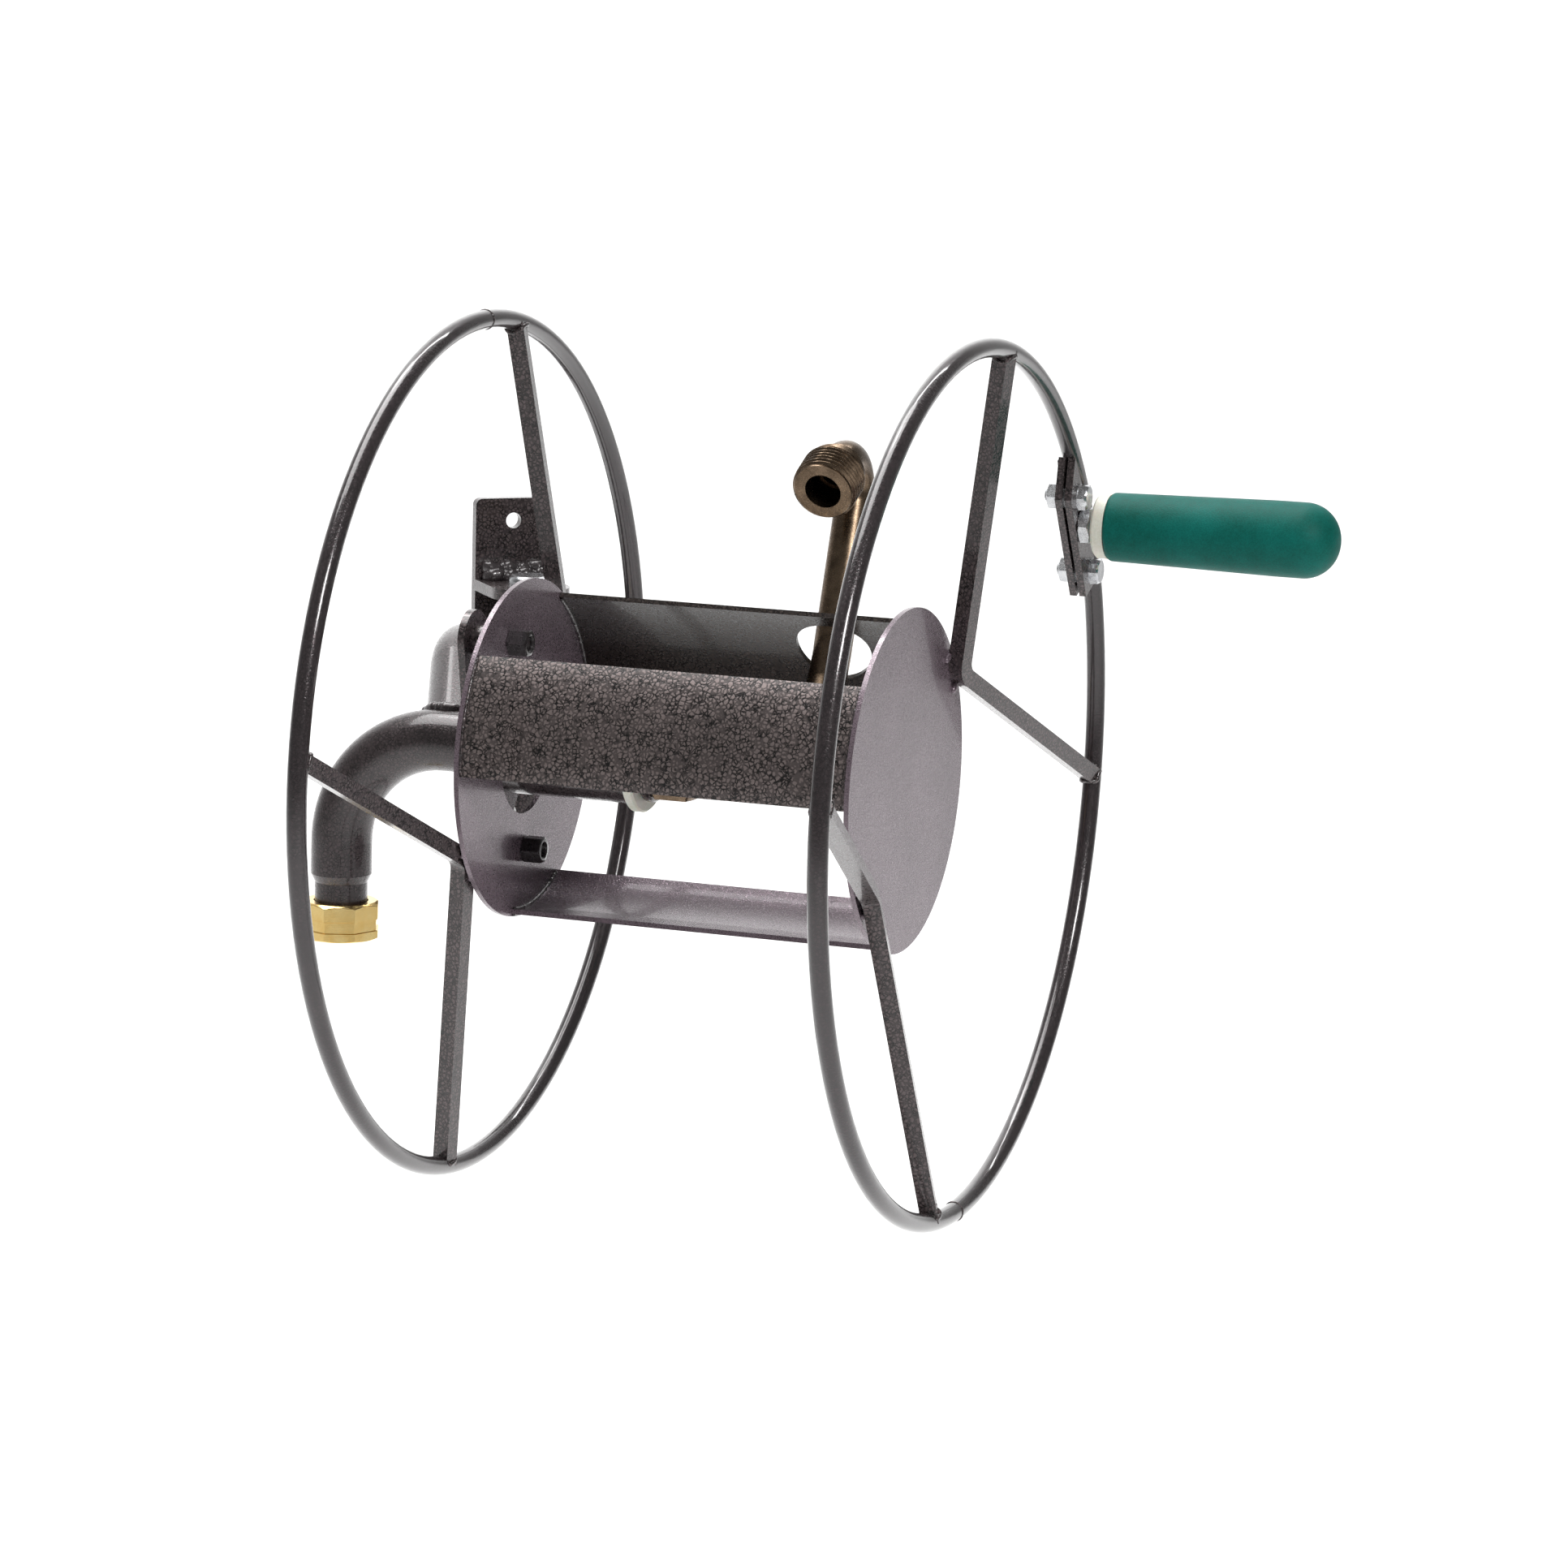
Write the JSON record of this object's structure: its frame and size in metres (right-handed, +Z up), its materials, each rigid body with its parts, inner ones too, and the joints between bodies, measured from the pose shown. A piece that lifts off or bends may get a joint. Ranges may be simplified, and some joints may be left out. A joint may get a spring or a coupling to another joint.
{
  "type": "garden hose reel",
  "caption": "Wall-mounted swivel hose reel: two wire-rim flanges on a slatted drum, crank grip, water inlet elbow with swivel nut and gooseneck hose outlet.",
  "frame": {"origin": "centre of the wall plate's back face, level with the reel's axis", "axes": "+Y into the wall, +Z up, +X along the wall to the right as seen from the room; the reel's axis lies level, its crank end turned 41 degrees out from the wall"},
  "size_m": [0.4548, 0.4678, 0.3556],
  "materials": {
    "hammered_paint": "hammered dark brown-grey powder coat with black veins, semi-gloss",
    "zinc": "bright zinc plating",
    "spring_steel": "blackened spring steel",
    "brass": "machined yellow brass",
    "bronze_plate": "satin bronze plating",
    "nylon": "ivory nylon",
    "green_grip": "teal green vinyl, satin",
    "rubber": "black rubber, matte"
  },
  "bodies": {
    "wall_bracket": {"wall_plate": "hammered_paint", "upper_ear": "hammered_paint", "lower_ear": "hammered_paint", "pivot_pin": "zinc", "pin_washer": "zinc", "pin_clip": "spring_steel"},
    "arm": {"pivot_sleeve": "hammered_paint", "upper_pivot_bush": "nylon", "lower_pivot_bush": "nylon", "support_arm": "hammered_paint", "inlet_tube": "hammered_paint", "hub_retaining_ring": "spring_steel", "hub_collar": "hammered_paint", "swivel_cap_nut": "bronze_plate"},
    "hose_nut": {"hose_nut": "brass", "hose_washer": "rubber"},
    "reel": {"bearing_flange": "hammered_paint", "flange_screws": "hammered_paint", "flange_spacers": "hammered_paint", "flange_nuts": "hammered_paint", "hub_sleeve": "hammered_paint", "outer_hub_bush": "nylon", "inner_hub_bush": "nylon", "left_disc": "hammered_paint", "right_disc": "hammered_paint", "front_strip": "hammered_paint", "back_strip": "hammered_paint", "bottom_strip": "hammered_paint", "left_rim": "hammered_paint", "right_rim": "hammered_paint", "left_upper_spoke": "hammered_paint", "left_lower_spoke": "hammered_paint", "right_upper_spoke": "hammered_paint", "right_lower_spoke": "hammered_paint", "swivel_spigot": "brass", "spigot_o_rings": "rubber", "gooseneck_tube": "bronze_plate", "outlet_fitting": "bronze_plate", "handle_plate_welded": "hammered_paint", "handle_plate_bolted": "hammered_paint", "handle_bolts": "zinc", "handle_nuts": "zinc", "handle_washers": "zinc", "handle_spindle": "zinc", "spindle_nut": "zinc", "grip_retaining_ring": "spring_steel"},
    "grip": {"handle_bush": "nylon", "handle_grip": "green_grip"}
  },
  "joints": [
    {"name": "arm_swivel", "type": "hinge", "parent": "wall_bracket", "child": "arm", "pos_m": [0, -0.03, 0], "axis": [0, 0, 1], "range_deg": [-45, 41]},
    {"name": "reel_spin", "type": "hinge", "parent": "arm", "child": "reel", "pos_m": [0.00435, -0.26354, 0], "axis": [0.7547, -0.6561, 0], "continuous": true},
    {"name": "hose_nut_turn", "type": "hinge", "parent": "arm", "child": "hose_nut", "pos_m": [-0.12131, -0.15431, -0.08], "axis": [0, 0, 1], "continuous": true},
    {"name": "grip_spin", "type": "hinge", "parent": "reel", "child": "grip", "pos_m": [0.21664, -0.27083, 0.08983], "axis": [0.7547, -0.6561, 0], "continuous": true}
  ]
}
